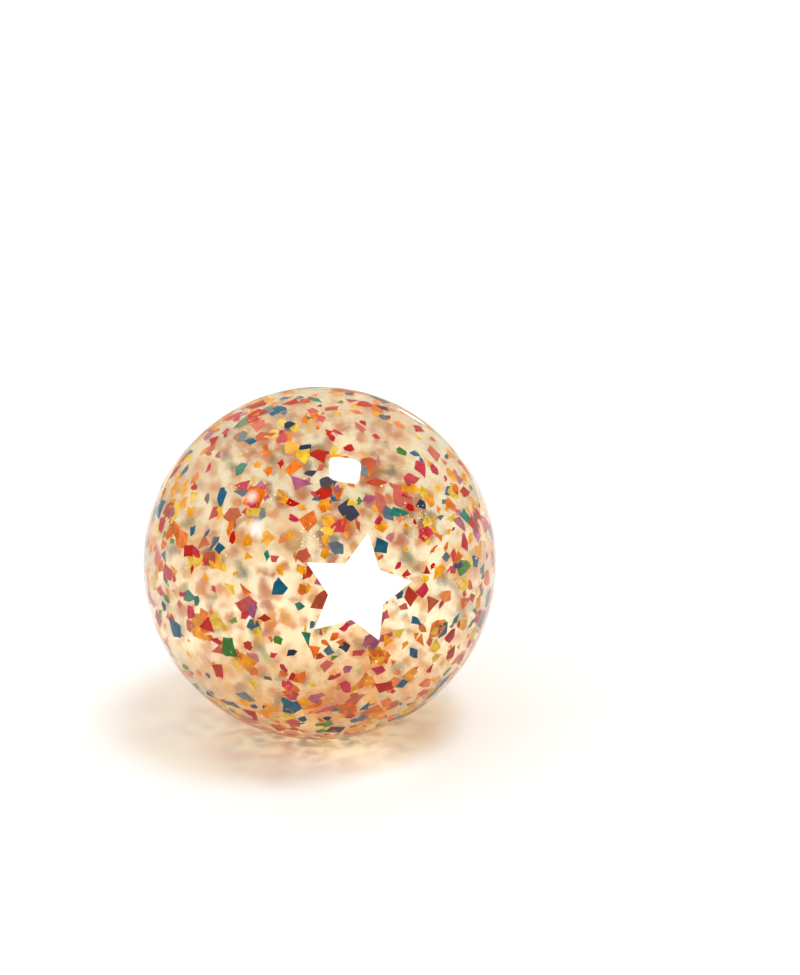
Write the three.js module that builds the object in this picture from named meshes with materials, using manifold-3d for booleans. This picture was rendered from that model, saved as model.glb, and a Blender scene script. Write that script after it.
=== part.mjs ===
// A clear play ball of soft vinyl, blown up with air: the ball, the stopper of its air valve
// and a plain star sticker. The ball is sealed, so it is modelled as one solid.
// Millimetres, +Z up. The origin is the middle of the small flat patch that the ball stands on,
// and the front, with the star, faces -Y.
import * as THREE from "three";
import { mergeVertices } from "three/addons/utils/BufferGeometryUtils.js";
import Module from "manifold-3d";

// The ball
const ballDiameter = 150;
const restPatchDiameter = 20; // where the soft ball flattens under its own weight
const facetsAround = 72;
const facetsUp = 36;

// The air valve, on the side turned away from the star
const stopperHeadDiameter = 10;
const stopperHeadThickness = 1.6;
const stopperStemDiameter = 5;
const stopperStemLength = 6.5; // from under the head to the tip
const stopperTipChamfer = 0.8;
const stopperHeadRounding = 0.4;
const fingerDimpleDiameter = 4.4;
const fingerDimpleDepth = 0.6;
const recessMargin = 1.6; // a fingernail's room around the head
const stopperFacets = 32;

// The star sticker
const starAzimuth = 10.8; // degrees to the right of the front
const starElevation = 8.1; // degrees above the ball's middle
const starTurn = 14.1; // degrees clockwise, because it was stuck on by hand
const starPoints = 5;
const starTipRadius = 22.3;
const starNotchRadius = 11.5;
const starThickness = 0.3;

// Pieces that touch on the real ball stand this far apart
const touchGap = 0.3;

const ballRadius = ballDiameter / 2;
const restPatchRadius = restPatchDiameter / 2;
const ballCentre = new THREE.Vector3(0, 0, Math.sqrt(ballRadius ** 2 - restPatchRadius ** 2));

const solids = await Module();
solids.setup();

// The direction from the ball's centre at an azimuth to the right of the front and an elevation.
function direction(azimuth, elevation) {
  const a = THREE.MathUtils.degToRad(azimuth);
  const e = THREE.MathUtils.degToRad(elevation);
  return new THREE.Vector3(Math.sin(a) * Math.cos(e), -Math.cos(a) * Math.cos(e), Math.sin(e));
}

// A placement with its origin at the ball's centre, its Z axis along outward and its Y axis as
// near to straight up as that allows.
function facing(outward) {
  const up = new THREE.Vector3(0, 0, 1);
  const across = new THREE.Vector3().crossVectors(up, outward).normalize();
  const along = new THREE.Vector3().crossVectors(outward, across);
  return new THREE.Matrix4().makeBasis(across, along, outward).setPosition(ballCentre);
}

// A shape turned from a profile of [radius, height] points, standing along Z.
function turned(profile, facets) {
  const points = profile.map(([radius, height]) => new THREE.Vector2(radius, height));
  return new THREE.LatheGeometry(points, facets).rotateX(Math.PI / 2);
}

// A closed geometry as a solid that can be cut and joined.
function toSolid(geometry) {
  const bare = geometry.clone();
  bare.deleteAttribute("normal");
  bare.deleteAttribute("uv");
  const merged = mergeVertices(bare);
  return new solids.Manifold(
    new solids.Mesh({
      numProp: 3,
      vertProperties: merged.attributes.position.array,
      triVerts: new Uint32Array(merged.index.array),
    }),
  );
}

// A solid as a named mesh with its own material.
function toMesh(name, solid, material) {
  const { vertProperties, triVerts } = solid.getMesh();
  const geometry = new THREE.BufferGeometry();
  geometry.setAttribute("position", new THREE.BufferAttribute(vertProperties, 3));
  geometry.setIndex(new THREE.BufferAttribute(triVerts, 1));
  geometry.computeVertexNormals();
  const mesh = new THREE.Mesh(geometry, material);
  mesh.name = name;
  return mesh;
}

// A globe of any radius about the ball's centre, flat where it meets the patch that it stands on.
function globe(radius) {
  const bottom = -ballCentre.z;
  const flatRadius = Math.sqrt(radius ** 2 - bottom ** 2);
  const start = Math.asin(bottom / radius);
  const profile = [[0, bottom]];
  for (let i = 0; i < facetsUp; i++) {
    const angle = start + ((Math.PI / 2 - start) * i) / facetsUp;
    profile.push(i === 0 ? [flatRadius, bottom] : [radius * Math.cos(angle), radius * Math.sin(angle)]);
  }
  profile.push([0, radius]);
  return turned(profile, facetsAround).translate(0, 0, ballCentre.z);
}

// Heights along the valve's axis, counted from the ball's centre.
const stopperHeadRadius = stopperHeadDiameter / 2;
const stopperStemRadius = stopperStemDiameter / 2;
const headTop = Math.sqrt(ballRadius ** 2 - stopperHeadRadius ** 2);
const headUnderside = headTop - stopperHeadThickness;
const stemTip = headUnderside - stopperStemLength;

// The hole for the stopper: a dished recess for its head and a blind bore for its stem.
function valveHole() {
  const aboveBall = ballRadius + stopperHeadThickness;
  const recessRadius = stopperHeadRadius + recessMargin;
  const boreRadius = stopperStemRadius + touchGap;
  return turned(
    [
      [0, stemTip - touchGap],
      [boreRadius, stemTip - touchGap],
      [boreRadius, headUnderside - touchGap],
      [recessRadius, headUnderside - touchGap],
      [recessRadius, aboveBall],
      [0, aboveBall],
    ],
    stopperFacets,
  );
}

// The stopper: a stem with a chamfered tip under a head that follows the ball's own curve and has
// a dimple in its middle.
function stopper() {
  const profile = [
    [0, stemTip],
    [stopperStemRadius - stopperTipChamfer, stemTip],
    [stopperStemRadius, stemTip + stopperTipChamfer],
    [stopperStemRadius, headUnderside],
    [stopperHeadRadius, headUnderside],
    [stopperHeadRadius, headTop - stopperHeadRounding],
    [stopperHeadRadius - stopperHeadRounding, headTop],
  ];
  const dimpleRadius = fingerDimpleDiameter / 2;
  const dimpleRim = Math.sqrt(ballRadius ** 2 - dimpleRadius ** 2);
  profile.push([dimpleRadius, dimpleRim]);
  const dimpleSteps = 4;
  for (let i = 1; i <= dimpleSteps; i++) {
    const angle = (Math.PI / 2) * (i / dimpleSteps);
    const radius = i === dimpleSteps ? 0 : dimpleRadius * Math.cos(angle);
    profile.push([radius, dimpleRim - fingerDimpleDepth * Math.sin(angle)]);
  }
  return turned(profile, stopperFacets);
}

// The star's outline, pushed outwards from the ball's centre.
function starPrism() {
  const outline = new THREE.Shape();
  for (let i = 0; i < 2 * starPoints; i++) {
    const radius = i % 2 === 0 ? starTipRadius : starNotchRadius;
    const angle = Math.PI / 2 - THREE.MathUtils.degToRad(starTurn) - (Math.PI * i) / starPoints;
    outline[i === 0 ? "moveTo" : "lineTo"](radius * Math.cos(angle), radius * Math.sin(angle));
  }
  outline.closePath();
  return new THREE.ExtrudeGeometry(outline, { depth: ballDiameter, bevelEnabled: false });
}

const clearVinyl = new THREE.MeshStandardMaterial({
  color: 0xf1dcc0,
  roughness: 0.08,
  metalness: 0,
  transparent: true,
  opacity: 0.45,
});
const milkyVinyl = new THREE.MeshStandardMaterial({ color: 0xf4eee2, roughness: 0.35, metalness: 0 });
const whiteFilm = new THREE.MeshStandardMaterial({ color: 0xfdfdfb, roughness: 0.3, metalness: 0 });

const valvePlacement = facing(direction(starAzimuth + 180, -starElevation));
const starPlacement = facing(direction(starAzimuth, starElevation));

const ball = toSolid(globe(ballRadius)).subtract(toSolid(valveHole().applyMatrix4(valvePlacement)));
const stickerUnderside = ballRadius + touchGap;
const star = toSolid(globe(stickerUnderside + starThickness))
  .subtract(toSolid(globe(stickerUnderside)))
  .intersect(toSolid(starPrism().applyMatrix4(starPlacement)));

const part = new THREE.Group();
part.add(toMesh("ball", ball, clearVinyl));
part.add(toMesh("valve_stopper", toSolid(stopper().applyMatrix4(valvePlacement)), milkyVinyl));
part.add(toMesh("star_sticker", star, whiteFilm));

export default part;
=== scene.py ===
# %% [markdown]
# # A confetti play ball
#
# This ball is blown up from clear soft vinyl. Its wall is only a millimetre and a half thick, and
# about two thousand chips of coloured film are sealed inside it. A white star is stuck on the
# front, and the stopper of the air valve sits at the back.
#
# The look comes from layers: a glossy outer face, flat chips right behind it, a duller inner face,
# and then the same things again on the far side, seen through all of that. So each layer is made as
# its own shape, where it really is, and light does the rest.

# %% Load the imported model
import math

import bmesh
import bpy
from mathutils import Matrix, Vector


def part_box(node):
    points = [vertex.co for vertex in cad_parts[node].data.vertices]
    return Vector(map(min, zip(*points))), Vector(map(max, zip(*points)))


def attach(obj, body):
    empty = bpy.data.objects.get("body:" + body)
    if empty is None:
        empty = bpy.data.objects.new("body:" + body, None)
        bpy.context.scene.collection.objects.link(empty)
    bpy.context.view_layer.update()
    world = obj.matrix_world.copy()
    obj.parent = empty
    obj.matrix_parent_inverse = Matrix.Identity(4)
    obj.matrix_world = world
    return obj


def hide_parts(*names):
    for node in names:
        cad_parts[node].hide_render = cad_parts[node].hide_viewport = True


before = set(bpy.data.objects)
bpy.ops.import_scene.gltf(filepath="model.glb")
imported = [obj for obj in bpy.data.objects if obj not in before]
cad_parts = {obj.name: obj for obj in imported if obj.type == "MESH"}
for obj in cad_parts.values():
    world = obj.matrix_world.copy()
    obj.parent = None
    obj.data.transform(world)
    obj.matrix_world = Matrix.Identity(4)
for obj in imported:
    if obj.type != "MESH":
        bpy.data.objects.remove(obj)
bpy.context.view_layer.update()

# %% [markdown]
# ## Sizes that everything shares
#
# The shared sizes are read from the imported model, so nothing has to be fitted by eye. The ball's
# width gives its radius. Its height is a little less, because a soft ball flattens where it stands,
# and the difference gives the height of its centre.

# %% Shared sizes
MM = 0.001
ball_low, ball_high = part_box("ball")
BALL_RADIUS = round((ball_high.x - ball_low.x) / 2, 4)
BALL_CENTRE = Vector((0, 0, ball_high.z - BALL_RADIUS))
WALL = 1.5 * MM
INNER_RADIUS = BALL_RADIUS - WALL
print("radius", BALL_RADIUS, "centre height", round(BALL_CENTRE.z, 5))


# %% Directions
def direction(azimuth, elevation):
    """The direction at an azimuth to the right of the front and an elevation, in degrees."""
    a, e = math.radians(azimuth), math.radians(elevation)
    return Vector((math.sin(a) * math.cos(e), -math.cos(a) * math.cos(e), math.sin(e)))


STAR_AXIS = direction(10.8, 8.1)
VALVE_AXIS = -STAR_AXIS

# %% [markdown]
# ## The camera
#
# The photograph looks slightly down on the ball from a little over half a metre, with the ball left
# of the middle. The distance comes from how the ball's outline and its resting point lie in the
# picture: from farther away, less of its top would show. Like every object made here, the camera
# is placed in the scene by a small helper.

# %% New objects
def new_object(name, data):
    """An object with this mesh or camera data, placed in the scene."""
    made = bpy.data.objects.new(name, data)
    bpy.context.scene.collection.objects.link(made)
    return made


# %% Camera
CAMERA_DISTANCE = 0.6443
CAMERA_ELEVATION = 16.94
CAMERA_PITCH, CAMERA_YAW = 14.12, 3.15
CAMERA_LENS, CAMERA_SENSOR = 55.4, 36

camera_data = bpy.data.cameras.new("camera")
camera_data.lens = CAMERA_LENS
camera_data.sensor_width = CAMERA_SENSOR
camera = new_object("camera", camera_data)
camera.location = BALL_CENTRE + CAMERA_DISTANCE * direction(0, CAMERA_ELEVATION)
camera.rotation_euler = (math.radians(90 - CAMERA_PITCH), 0, math.radians(-CAMERA_YAW))
bpy.context.scene.camera = camera
print("camera at", tuple(round(c, 4) for c in camera.location))

# %% [markdown]
# ## Helpers for node trees
#
# Shapes that follow a rule are made with Geometry Nodes, and every finish is a node material. Both
# kinds of tree are built the same way, so a few small helpers save a lot of repeating: one adds any
# node, and the others stand for the sums that come up again and again.

# %% Any node
NODE_WIDTH, NODE_HEIGHT, NODES_IN_A_ROW = 190, 260, 12


def add_node(tree, kind, inputs=None, **settings):
    """Adds a node to a tree, changes its settings, and fills or links its inputs."""
    node = tree.nodes.new(kind)
    count = len(tree.nodes)
    row, column = divmod(count, NODES_IN_A_ROW)
    node.location = (NODE_WIDTH * column, -NODE_HEIGHT * row)
    for name, value in settings.items():
        setattr(node, name, value)
    for name, value in (inputs or {}).items():
        if isinstance(value, bpy.types.NodeSocket):
            tree.links.new(value, node.inputs[name])
        else:
            node.inputs[name].default_value = value
    return node


def output_of(tree, kind, inputs=None, **settings):
    """Adds a node to a tree and gives its first output."""
    return add_node(tree, kind, inputs, **settings).outputs[0]


# %% Sums with numbers and vectors
def maths(tree, operation, *values, clamp=False):
    """A number worked out from one to three numbers."""
    settings = {"operation": operation, "use_clamp": clamp}
    return output_of(tree, "ShaderNodeMath", dict(enumerate(values)), **settings)


def vector_maths(tree, operation, *values):
    """A vector worked out from vectors, or the number that a dot product or a length gives."""
    node = add_node(tree, "ShaderNodeVectorMath", dict(enumerate(values)), operation=operation)
    return node.outputs["Value" if operation in ("LENGTH", "DOT_PRODUCT", "DISTANCE") else "Vector"]


def scaled(tree, vector, by):
    """A vector times a number."""
    return output_of(tree, "ShaderNodeVectorMath", {0: vector, "Scale": by}, operation="SCALE")


def ranged(tree, value, low, high, start=0.0, end=1.0, steps="LINEAR"):
    """A number that runs from low to high while the value runs from start to end."""
    values = {"Value": value, "From Min": start, "From Max": end, "To Min": low, "To Max": high}
    return add_node(tree, "ShaderNodeMapRange", values, interpolation_type=steps).outputs["Result"]


def noise(tree, place, scale, detail=2.0, roughness=0.5):
    """Soft noise from 0 to 1, with about this many features per metre."""
    values = {"Vector": place, "Scale": scale, "Detail": detail, "Roughness": roughness}
    return add_node(tree, "ShaderNodeTexNoise", values).outputs["Fac"]


# %% Parts of a place
def parts_of(tree, place):
    """The X, Y and Z of a place."""
    return add_node(tree, "ShaderNodeSeparateXYZ", {"Vector": place}).outputs


def kept_above(tree, place, lowest):
    """A place that comes no lower than this height."""
    parts = parts_of(tree, place)
    values = {"X": parts["X"], "Y": parts["Y"], "Z": maths(tree, "MAXIMUM", parts["Z"], lowest)}
    return output_of(tree, "ShaderNodeCombineXYZ", values)


# %% [markdown]
# ## From a geometry tree to a plain mesh
#
# A geometry tree works like a machine with dials. Here each dial is a named input, so the same tree
# can turn a wall and a stopper, or cut ten colours of chips. The tree is put on an object as a
# modifier, its dials are set by their identifiers, and the result is copied out as a plain mesh.

# %% Geometry trees
SOCKET_KINDS = {
    float: "NodeSocketFloat",
    int: "NodeSocketInt",
    Vector: "NodeSocketVector",
    bpy.types.Material: "NodeSocketMaterial",
}


def geometry_tree(name, sizes):
    """A geometry tree with one named input for each size, and its input and output nodes."""
    tree = bpy.data.node_groups.new(name, "GeometryNodeTree")
    tree.is_modifier = True
    tree.interface.new_socket("Geometry", in_out="INPUT", socket_type="NodeSocketGeometry")
    tree.interface.new_socket("Geometry", in_out="OUTPUT", socket_type="NodeSocketGeometry")
    for size, kind in sizes.items():
        tree.interface.new_socket(size, in_out="INPUT", socket_type=SOCKET_KINDS[kind])
    return tree, add_node(tree, "NodeGroupInput").outputs, add_node(tree, "NodeGroupOutput")


# %% Growing a piece
def grown(name, tree, start_mesh, **sizes):
    """A plain mesh piece: what a geometry tree makes of a start mesh with these sizes."""
    maker = new_object(name + "_maker", start_mesh)
    modifier = maker.modifiers.new(tree.name, "NODES")
    modifier.node_group = tree
    for item in tree.interface.items_tree:
        if item.in_out == "INPUT" and item.name != "Geometry":
            modifier[item.identifier] = sizes.pop(item.name.lower().replace(" ", "_"))
    assert not sizes, sizes
    bpy.context.view_layer.update()
    evaluated = maker.evaluated_get(bpy.context.evaluated_depsgraph_get())
    mesh = bpy.data.meshes.new_from_object(evaluated)
    mesh.name = name
    bpy.data.objects.remove(maker)
    return new_object(name, mesh)


# %% Measuring a piece
def measure(piece):
    """Prints a piece's triangles and its volume, which is above zero if its faces point outwards."""
    b = bmesh.new()
    b.from_mesh(piece.data)
    millilitres = b.calc_volume(signed=True) * 1e6
    open_edges = sum(1 for e in b.edges if len(e.link_faces) != 2)
    triangles = sum(len(f.verts) - 2 for f in b.faces)
    b.free()
    print(f"{piece.name}: {triangles} triangles, {millilitres:.3f} ml, {open_edges} open edges")


# %% Values that travel with the geometry
def store(tree, geometry, name, value, data_type="FLOAT"):
    """Keeps a value on each point of the geometry under a name."""
    values = {"Geometry": geometry, "Name": name}
    node = add_node(tree, "GeometryNodeStoreNamedAttribute", values, data_type=data_type)
    tree.links.new(value, node.inputs["Value"])
    return node.outputs[0]


def stored(tree, name, data_type="FLOAT"):
    """Reads a value kept under a name."""
    node = add_node(tree, "GeometryNodeInputNamedAttribute", {"Name": name}, data_type=data_type)
    return node.outputs["Attribute"]


def sampled(tree, geometry, index, value, data_type="FLOAT"):
    """The value that another geometry has at its point with this index."""
    values = {"Geometry": geometry, "Index": index}
    node = add_node(tree, "GeometryNodeSampleIndex", values, data_type=data_type)
    tree.links.new(value, node.inputs["Value"])
    return node.outputs["Value"]


# %% Moving, welding and coating
WELD = 1e-6


def own_place(tree):
    """The place of each point."""
    return output_of(tree, "GeometryNodeInputPosition")


def moved(tree, geometry, place):
    """A geometry with its points at new places."""
    values = {"Geometry": geometry, "Position": place}
    return output_of(tree, "GeometryNodeSetPosition", values)


def welded(tree, mesh):
    """A mesh in which points that lie in one place are joined."""
    return output_of(tree, "GeometryNodeMergeByDistance", {"Geometry": mesh, "Distance": WELD})


def realized(tree, copies):
    """Copies made into a mesh of their own."""
    return output_of(tree, "GeometryNodeRealizeInstances", {"Geometry": copies})


def coated(tree, geometry, material, where=True):
    """A geometry with a material on the chosen faces."""
    values = {"Geometry": geometry, "Selection": where, "Material": material}
    return output_of(tree, "GeometryNodeSetMaterial", values)


# %% [markdown]
# ## Helpers for finishes
#
# Nothing real has one even colour, so every finish here drifts a little with noise that is fixed to
# the object. The helpers below start a material, read that noise, and mix colours or shaders.

# %% Starting a finish
def new_material(name):
    """An empty node material and its tree."""
    material = bpy.data.materials.new(name)
    material.use_nodes = True
    material.node_tree.nodes.clear()
    return material, material.node_tree


def finished(material, shader):
    """The material with this shader on its surface."""
    add_node(material.node_tree, "ShaderNodeOutputMaterial", {"Surface": shader})
    return material


# %% Places, noise and bumps of a finish
def object_place(tree):
    """The place that is being coloured, fixed to the object."""
    return add_node(tree, "ShaderNodeTexCoord").outputs["Object"]


def object_noise(tree, scale, detail=2.0, roughness=0.5):
    """Noise fixed to the object."""
    return noise(tree, object_place(tree), scale, detail, roughness)


def bumpy(tree, height, depth, strength=1.0):
    """A normal tilted as if the height were really there, this many metres deep."""
    values = {"Strength": strength, "Distance": depth, "Height": height}
    return add_node(tree, "ShaderNodeBump", values).outputs["Normal"]


# %% Mixing colours
def opaque(colour):
    """A colour for a socket, or the socket itself."""
    return (*colour, 1) if isinstance(colour, tuple) else colour


def mixed(tree, share, first, second):
    """A colour between two, nearer to the second as the share grows."""
    # The mix node lists its sockets for numbers and vectors before those for colours.
    values = {"Factor": share, 6: opaque(first), 7: opaque(second)}
    return add_node(tree, "ShaderNodeMix", values, data_type="RGBA").outputs[2]


# %% Shaders
def principled(tree, values):
    """The shader that most finishes are made of."""
    return output_of(tree, "ShaderNodeBsdfPrincipled", values)


def either(tree, share, first, second):
    """A shader between two, nearer to the second as the share grows."""
    return output_of(tree, "ShaderNodeMixShader", {0: share, 1: first, 2: second})


# %% [markdown]
# ## How light gets through
#
# Clear material throws hard, noisy patches of light if every lamp ray has to bend through it, and a
# renderer finds those paths only by luck. So there are two ways through each clear or dyed piece.
# What the camera sees goes through the real, bending shader. Rays that look for a lamp, and light
# that bounces off dull surfaces, go straight through a tinted Transparent shader. That gives the
# soft, warm, speckled shadow of the photograph, with little noise.

# %% Two ways through
def let_light_through(tree, seen, straight):
    """Lamp rays and light from dull surfaces take the straight shader, all else the seen one."""
    rays = add_node(tree, "ShaderNodeLightPath").outputs
    for_lamps = either(tree, rays["Is Shadow Ray"], seen, straight)
    return either(tree, rays["Is Diffuse Ray"], for_lamps, straight)


def transparent(tree, colour):
    """A shader that light crosses without bending, dyed by a colour."""
    return output_of(tree, "ShaderNodeBsdfTransparent", {"Color": opaque(colour)})


# %% [markdown]
# ## Clear vinyl
#
# The wall has two faces. Outside it is as glossy as glass, with faint waves from the mould. Inside
# it is duller and rippled, and that is why the chips on the far side look soft while those right
# behind the outer face stay sharp. A coloured volume between the faces would be true to life but
# slow. A tint on each face does the same work, in patches that run from cream to tan.

# %% One face of the wall
VINYL_IOR = 1.52
# What is left of the light that lights other things, after one face and half the vinyl behind it.
LIGHT_KEPT = (0.96, 0.935, 0.89)
# Features per metre of the tint's broad and fine patches, and the sums between which it changes.
BROAD_PATCHES, FINE_PATCHES = 38.0, 300.0
PATCHES_START, PATCHES_END = 0.88, 1.2


def clear_face(name, clearest, cloudiest, roughness, wave_size, wave_height, mirror):
    """One face of the clear wall. Its tint drifts between two colours in soft, mottled patches."""
    material, tree = new_material(name)
    broad = object_noise(tree, BROAD_PATCHES, 3.0)
    fine = object_noise(tree, FINE_PATCHES, 3.0, 0.6)
    both = maths(tree, "ADD", broad, fine)
    patches = ranged(tree, both, 0.0, 1.0, PATCHES_START, PATCHES_END)
    values = {
        "Base Color": mixed(tree, patches, clearest, cloudiest),
        "Roughness": ranged(tree, object_noise(tree, 60.0, 4.0), *roughness),
        "IOR": VINYL_IOR,
        "Specular Tint": opaque((mirror,) * 3),
        "Transmission Weight": 1.0,
        "Normal": bumpy(tree, object_noise(tree, 1 / wave_size), wave_height),
    }
    kept = tuple(math.sqrt(c) * share for c, share in zip(clearest, LIGHT_KEPT))
    straight = transparent(tree, kept)
    return finished(material, let_light_through(tree, principled(tree, values), straight))


# %% The two faces
OUTSIDE_TINT = (0.99, 0.93, 0.73)
CREAM = (1.0, 0.985, 0.89)
TAN = (0.87, 0.64, 0.45)
clear_outside = clear_face(
    "clear_vinyl_outside", OUTSIDE_TINT, OUTSIDE_TINT, (0.0, 0.005), 22 * MM, 0.04 * MM, 1.0
)
# The dull face would mirror the window a second time, as a wide glow beside the real reflection.
clear_inside = clear_face(
    "clear_vinyl_inside", CREAM, TAN, (0.08, 0.18), 5 * MM, 0.06 * MM, 0.0
)
print("finishes of the wall:", clear_outside.name, "and", clear_inside.name)

# %% [markdown]
# ## Turning a profile
#
# The wall and the stopper are round, so both are turned, as on a lathe. A screw modifier could do
# that, but a tree can also lean the axis, ripple one face and press the foot flat in one go. The
# start mesh is only the profile: a line of points in the plane of X and Z, with the axis along Z.
# The tree lays out a grid with a row for each profile point and a column for each step round.

# %% Spinning the profile
def spun_profile(tree, given):
    """A grid, the row of each of its points, and where each point lies once it is spun."""
    count = add_node(tree, "GeometryNodeAttributeDomainSize", {"Geometry": given["Geometry"]})
    rows = count.outputs["Point Count"]
    columns = maths(tree, "ADD", given["Steps Around"], 1)
    grid = add_node(tree, "GeometryNodeMeshGrid", {"Vertices X": columns, "Vertices Y": rows})
    index = output_of(tree, "GeometryNodeInputIndex")
    row = maths(tree, "MODULO", index, rows)
    column = maths(tree, "FLOOR", maths(tree, "DIVIDE", index, rows))
    turn = maths(tree, "DIVIDE", maths(tree, "MULTIPLY", column, math.tau), given["Steps Around"])
    flat = sampled(tree, given["Geometry"], row, own_place(tree), "FLOAT_VECTOR")
    values = {"Vector": flat, "Axis": (0, 0, 1), "Angle": turn}
    spun = output_of(tree, "ShaderNodeVectorRotate", values)
    return grid.outputs["Mesh"], row, spun


# %% Leaning and rippling
def leaned(tree, place, axis):
    """A place turned so that the Z axis comes to lie along another axis."""
    turn = output_of(tree, "FunctionNodeAlignRotationToVector", {"Vector": axis}, axis="Z")
    return output_of(tree, "FunctionNodeRotateVector", {"Vector": place, "Rotation": turn})


def rippled(tree, place, given):
    """A place on the inner face, moved in or out by soft noise. The outer face stays smooth."""
    inside = maths(tree, "LESS_THAN", vector_maths(tree, "LENGTH", place), given["Split Radius"])
    waves = noise(tree, place, maths(tree, "DIVIDE", 1.0, given["Ripple Size"]), 1.0)
    height = maths(tree, "MULTIPLY", maths(tree, "SUBTRACT", waves, 0.5), given["Ripple Height"])
    outwards = vector_maths(tree, "NORMALIZE", place)
    ripple = scaled(tree, outwards, maths(tree, "MULTIPLY", height, inside))
    return vector_maths(tree, "ADD", place, ripple)


# %% Smooth faces, crisp edges and two finishes
SHARPEST_SMOOTH_BEND = 35


def finished_skin(tree, skin, given):
    """Smooths a skin except where it bends sharply, and coats its outer and inner faces."""
    bend = add_node(tree, "GeometryNodeInputMeshEdgeAngle").outputs["Unsigned Angle"]
    soft = maths(tree, "LESS_THAN", bend, math.radians(SHARPEST_SMOOTH_BEND))
    skin = output_of(tree, "GeometryNodeSetShadeSmooth", {"Geometry": skin}, domain="FACE")
    values = {"Geometry": skin, "Shade Smooth": soft}
    skin = output_of(tree, "GeometryNodeSetShadeSmooth", values, domain="EDGE")
    skin = realized(tree, skin)
    distance = vector_maths(tree, "DISTANCE", own_place(tree), given["Centre"])
    inner = maths(tree, "LESS_THAN", distance, given["Split Radius"])
    skin = coated(tree, skin, given["Outer Finish"])
    return coated(tree, skin, given["Inner Finish"], inner)


# %% The turning tree
def turning_tree():
    """Turns a profile about an axis through the ball's centre and rests it on the ground."""
    sizes = {
        "Steps Around": int,
        "Axis": Vector,
        "Centre": Vector,
        "Split Radius": float,
        "Ripple Height": float,
        "Ripple Size": float,
        "Outer Finish": bpy.types.Material,
        "Inner Finish": bpy.types.Material,
    }
    tree, given, output = geometry_tree("turned_profile", sizes)
    grid, row, spun = spun_profile(tree, given)
    place = rippled(tree, leaned(tree, spun, given["Axis"]), given)
    place = vector_maths(tree, "ADD", place, given["Centre"])
    lowest = sampled(tree, given["Geometry"], row, stored(tree, "lowest"))
    skin = welded(tree, moved(tree, grid, kept_above(tree, place, lowest)))
    tree.links.new(finished_skin(tree, skin, given), output.inputs[0])
    return tree


turned_profile = turning_tree()
print(turned_profile.name, "has", len(turned_profile.nodes), "nodes")

# %% [markdown]
# ## The wall of the ball
#
# On the real ball the wall thickens to a ring round the valve, and the stopper's head lies in a
# recess of that ring. The profile starts at the pole behind the star, runs over the outside to the
# valve, goes down the recess and through the bore, round the ring, and back along the inside. That
# gives one closed skin with a real thickness, which bends light as the real wall does. Each point
# also says how low it may come, so the outer face ends on the ground and the inner one above it.

# %% Drawing a profile
# A lowest height that is never reached.
FREE = -1.0


def profile_mesh(name, points):
    """A line of points for the turning tree, given as radius, height and lowest world height."""
    mesh = bpy.data.meshes.new(name)
    places = [(radius, 0, height) for radius, height, _ in points]
    mesh.from_pydata(places, [(i, i + 1) for i in range(len(points) - 1)], [])
    lowest = mesh.attributes.new("lowest", "FLOAT", "POINT")
    lowest.data.foreach_set("value", [low for _, _, low in points])
    return mesh


def arc(middle, radius, start, end, steps):
    """Points on a circle in the profile's plane, from one angle above the horizon to another."""
    angles = [start + (end - start) * i / steps for i in range(steps + 1)]
    across, up = middle
    return [(round(across + radius * math.cos(a), 9), up + radius * math.sin(a)) for a in angles]


def limited(points, lowest):
    """Profile points that all share one lowest height."""
    return [(radius, height, lowest) for radius, height in points]


# %% Sizes of the valve
STOPPER_HEAD_RADIUS = 5 * MM
STOPPER_HEAD_THICKNESS = 1.6 * MM
STOPPER_STEM_RADIUS = 2.5 * MM
STOPPER_STEM_LENGTH = 6.5 * MM
RECESS_RADIUS = 6.6 * MM
RING_RADIUS = 8.5 * MM
RING_DEPTH = 4.2 * MM
RING_ROUNDING = 1.2 * MM
SLIP = 0.05 * MM
HEAD_TOP = math.sqrt(BALL_RADIUS**2 - STOPPER_HEAD_RADIUS**2)
HEAD_UNDERSIDE = HEAD_TOP - STOPPER_HEAD_THICKNESS

# %% Profile of the wall
DOWN = -math.pi / 2
STEPS_UP = 110
recess_edge = math.acos(RECESS_RADIUS / BALL_RADIUS)
ring_edge = math.acos((RING_RADIUS + 1.0 * MM) / INNER_RADIUS)
ring_bottom = HEAD_UNDERSIDE - RING_DEPTH
bore = STOPPER_STEM_RADIUS + SLIP
seat = HEAD_UNDERSIDE - SLIP
ring_corner = (RING_RADIUS - RING_ROUNDING, ring_bottom + RING_ROUNDING)
recess = [
    (RECESS_RADIUS - 0.3 * MM, BALL_RADIUS * math.sin(recess_edge) - 0.25 * MM),
    (RECESS_RADIUS - 0.4 * MM, HEAD_UNDERSIDE + 0.3 * MM),
    (RECESS_RADIUS - 0.7 * MM, seat),
    (bore + 0.25 * MM, seat),
    (bore, seat - 0.25 * MM),
    (bore, ring_bottom + 0.3 * MM),
    (bore + 0.3 * MM, ring_bottom),
]
wall_profile = limited(arc((0, 0), BALL_RADIUS, DOWN, recess_edge, STEPS_UP), 0.0)
wall_profile += limited(recess + arc(ring_corner, RING_ROUNDING, DOWN, 0, 4), FREE)
wall_profile += limited(arc((0, 0), INNER_RADIUS, ring_edge, DOWN, STEPS_UP), WALL)
print("points of the wall's profile:", len(wall_profile))

# %% Turn the wall
ball_wall = grown(
    "ball_wall",
    turned_profile,
    profile_mesh("wall_profile", wall_profile),
    steps_around=200,
    axis=VALVE_AXIS,
    centre=BALL_CENTRE,
    split_radius=BALL_RADIUS - WALL / 2,
    ripple_height=0.07 * MM,
    ripple_size=9 * MM,
    outer_finish=clear_outside,
    inner_finish=clear_inside,
)
measure(ball_wall)

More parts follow.
